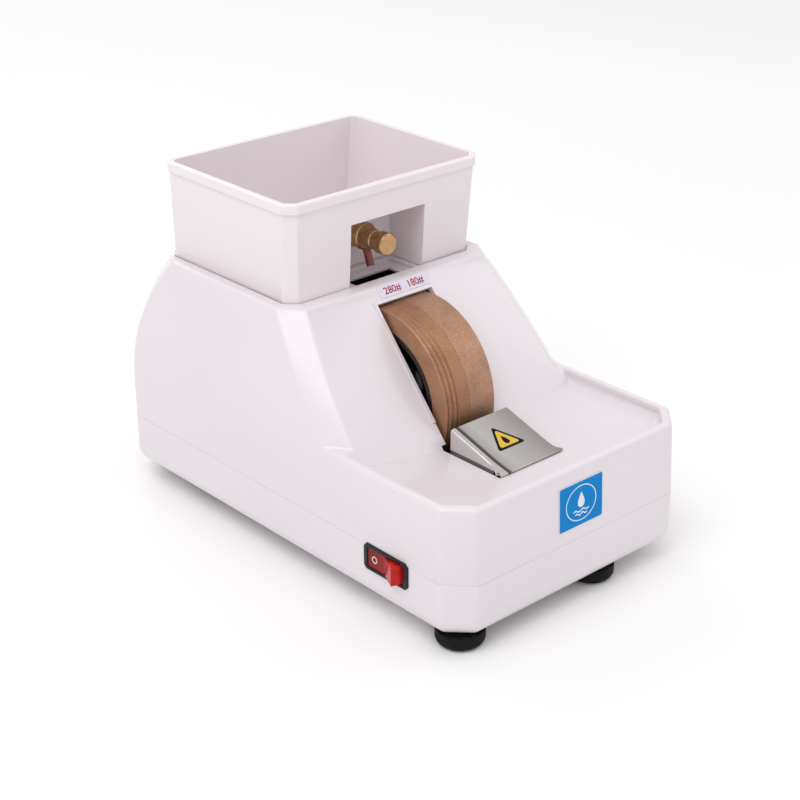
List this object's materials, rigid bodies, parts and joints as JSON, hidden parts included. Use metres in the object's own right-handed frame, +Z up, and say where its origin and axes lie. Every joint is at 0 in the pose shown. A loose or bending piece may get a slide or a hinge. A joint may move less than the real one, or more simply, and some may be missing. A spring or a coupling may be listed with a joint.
{
  "type": "wet grinding bench sharpener",
  "caption": "Small bench-top wet grinder: a water-dripped diamond wheel in a sloping moulded housing with tray, guard and lift-off tank.",
  "frame": {"origin": "on the bench, under the middle of the machine", "axes": "+X to the user's right, +Y from the user to the back, +Z up"},
  "size_m": [0.1697, 0.28, 0.1809],
  "materials": {
    "housing_plastic": "off-white moulded plastic, fine satin texture",
    "foot_rubber": "matt moulded rubber",
    "zinc_steel": "zinc-plated steel fasteners",
    "stainless_steel": "polished stainless sheet",
    "chamber_plastic": "dark grey moulded plastic",
    "seal_rubber": "black lip-seal rubber",
    "hose_rubber": "grey rubber hose",
    "black_plastic": "black moulded plastic",
    "cast_aluminium": "cast aluminium",
    "bearing_steel": "ground bearing steel",
    "belt_rubber": "ribbed rubber belt",
    "motor_paint": "dark grey motor enamel",
    "lamination_steel": "stacked electrical steel",
    "hub_phenolic": "dark brown phenolic core",
    "copper_winding": "enamelled copper winding",
    "capacitor_can": "drawn aluminium can",
    "red_plastic": "translucent red switch plastic",
    "fine_bronze": "sintered bronze with fine diamond grit",
    "coarse_bronze": "sintered bronze with coarse diamond grit",
    "tank_plastic": "off-white translucent moulded plastic",
    "tap_brass": "turned brass",
    "outlet_tube": "dark red translucent tube",
    "printed_label": "printed label film",
    "badge_film": null
  },
  "bodies": {
    "housing": {"upper_housing": "housing_plastic", "lower_shell": "housing_plastic", "foot_front_left": "foot_rubber", "foot_front_right": "foot_rubber", "foot_rear_left": "foot_rubber", "foot_rear_right": "foot_rubber", "foot_screws": "zinc_steel", "housing_screws": "zinc_steel", "pedestal_screws": "zinc_steel", "cradle_screws": "zinc_steel", "cradle_nuts": "zinc_steel", "splash_chamber": "chamber_plastic", "shaft_seal": "seal_rubber", "drain_hose": "hose_rubber", "drain_spout": "black_plastic", "spout_nut": "black_plastic", "spindle_pedestal": "cast_aluminium", "wheel_side_bearing": "bearing_steel", "belt_side_bearing": "bearing_steel", "drive_belt": "belt_rubber", "motor_can": "motor_paint", "motor_left_bell": "cast_aluminium", "motor_right_bell": "cast_aluminium", "motor_left_bearing": "bearing_steel", "motor_right_bearing": "bearing_steel", "motor_stator": "lamination_steel", "stator_coils": "copper_winding", "motor_cradle": "zinc_steel", "motor_screws": "zinc_steel", "run_capacitor": "capacitor_can", "capacitor_clip": "zinc_steel", "cable_gland": "black_plastic", "gland_nut": "black_plastic", "terminal_block": "black_plastic", "switch_body": "black_plastic", "switch_terminals": "tap_brass", "grit_label": "printed_label", "front_badge": "badge_film"},
    "wheel_spindle": {"spindle": "bearing_steel", "wheel_hub": "hub_phenolic", "fine_wheel_ring": "fine_bronze", "coarse_wheel_ring": "coarse_bronze", "wheel_washer": "zinc_steel", "wheel_nut": "zinc_steel", "wheel_pulley": "cast_aluminium"},
    "motor_armature": {"motor_shaft": "bearing_steel", "motor_rotor": "lamination_steel", "motor_pulley": "cast_aluminium"},
    "power_rocker": {"switch_rocker": "red_plastic"},
    "tank": {"water_tank": "tank_plastic", "tap_body": "tap_brass", "tap_outlet": "outlet_tube", "tap_washer": "seal_rubber", "tap_nut": "tap_brass"},
    "tap_valve": {"tap_knob": "tap_brass"},
    "guard": {"splash_guard": "stainless_steel"}
  },
  "joints": [
    {"name": "wheel_spin", "type": "hinge", "parent": "housing", "child": "wheel_spindle", "pos_m": [0, -0.02, 0.0762], "axis": [1, 0, 0], "continuous": true},
    {"name": "motor_spin", "type": "hinge", "parent": "housing", "child": "motor_armature", "pos_m": [0, 0.074, 0.0762], "axis": [1, 0, 0], "continuous": true},
    {"name": "rocker_press", "type": "hinge", "parent": "housing", "child": "power_rocker", "pos_m": [-0.076, -0.0911, 0.0316], "axis": [0, 0, 1], "range_deg": [0, 26]},
    {"name": "tank_lift", "type": "slide", "parent": "housing", "child": "tank", "axis": [0, 0, 1], "range_m": [0, 0.08]},
    {"name": "tap_turn", "type": "hinge", "parent": "tank", "child": "tap_valve", "pos_m": [0, 0.0229, 0.1469], "axis": [0, -1, 0], "range_deg": [0, 270]},
    {"name": "guard_lift", "type": "slide", "parent": "housing", "child": "guard", "axis": [0, 0, 1], "range_m": [0, 0.03]}
  ],
  "couplings": [
    {"joint": "motor_spin", "follows": "wheel_spin", "ratio": 1.1333}
  ]
}
